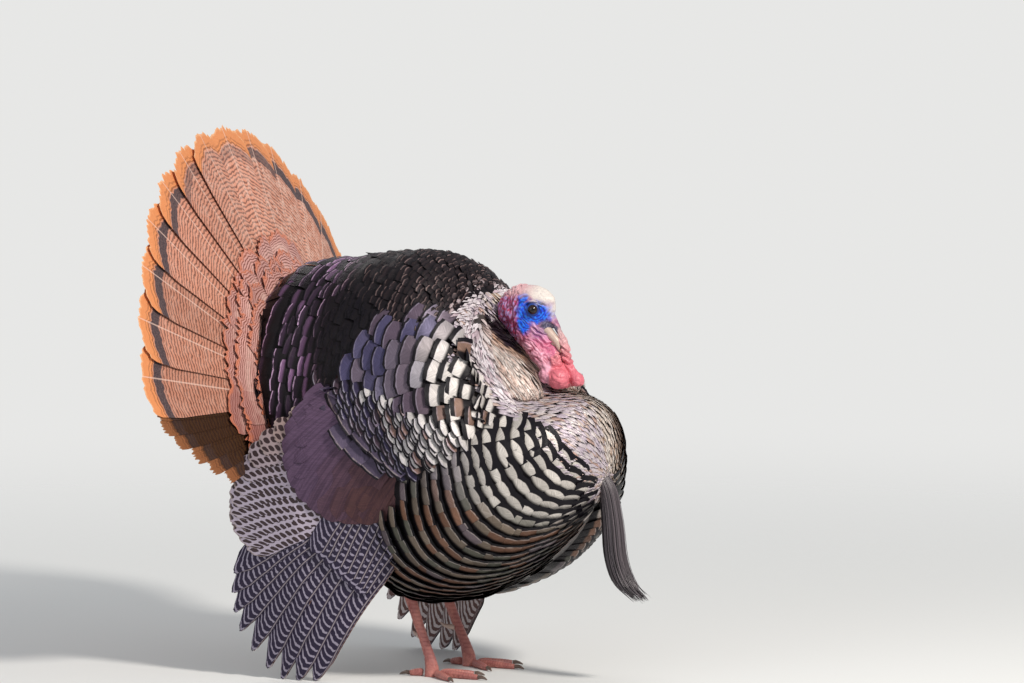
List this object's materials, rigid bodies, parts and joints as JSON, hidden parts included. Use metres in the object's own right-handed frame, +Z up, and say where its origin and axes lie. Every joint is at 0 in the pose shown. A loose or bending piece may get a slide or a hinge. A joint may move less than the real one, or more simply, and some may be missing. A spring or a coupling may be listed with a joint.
{
  "type": "wild turkey",
  "caption": "Life-size wild turkey tom in full strut: raised fan of tail feathers, drooped wings, puffed body, bare head with hanging snood, beard, spurred legs.",
  "frame": {"origin": "on the ground, at the middle of the bird's box as seen from above", "axes": "+Z up, the bird faces -Y and its right side is toward -X"},
  "size_m": [0.8922, 0.7968, 0.8409],
  "materials": {
    "breast_feathers": "iridescent bronze body feathers with black edges",
    "covert_feathers": "chestnut coverts with fine dark bars",
    "tail_feathers": "chestnut and black barred vanes with a buff end band",
    "wing_covert_feathers": "purple bronze vanes with black edges",
    "flight_feathers": "dark vanes with pale bars",
    "head_skin": "bare skin, cream, blue and pink, finely bumpy",
    "wattle_skin": "bare scarlet wattle skin, softly glossy",
    "horn": "horn, satin",
    "eye": "dark brown, wet and glossy",
    "beard_bristle": "coarse dark bristles",
    "leg_scales": "pink-red horny scales",
    "claw": "dark horn, satin"
  },
  "bodies": {
    "root": {"trunk": "breast_feathers", "ruff_right": "breast_feathers", "ruff_left": "breast_feathers", "head": "head_skin", "neck": "head_skin", "throat_lobes": "wattle_skin", "snood": "wattle_skin", "bill_upper": "horn", "bill_lower": "horn", "eye_left": "eye", "eye_right": "eye", "beard": "beard_bristle", "tail_fan": "tail_feathers", "tail_coverts": "covert_feathers", "undertail": "covert_feathers", "wing_coverts_right": "wing_covert_feathers", "wing_coverts_left": "wing_covert_feathers", "wing_secondaries_right": "flight_feathers", "wing_secondaries_left": "flight_feathers", "wing_primaries_right": "flight_feathers", "wing_primaries_left": "flight_feathers", "thigh_right": "breast_feathers", "shank_right": "leg_scales", "spur_right": "horn", "toe_inner_right": "leg_scales", "claw_inner_right": "claw", "toe_middle_right": "leg_scales", "claw_middle_right": "claw", "toe_outer_right": "leg_scales", "claw_outer_right": "claw", "toe_hind_right": "leg_scales", "claw_hind_right": "claw", "thigh_left": "breast_feathers", "shank_left": "leg_scales", "spur_left": "horn", "toe_inner_left": "leg_scales", "claw_inner_left": "claw", "toe_middle_left": "leg_scales", "claw_middle_left": "claw", "toe_outer_left": "leg_scales", "claw_outer_left": "claw", "toe_hind_left": "leg_scales", "claw_hind_left": "claw"}
  },
  "joints": []
}
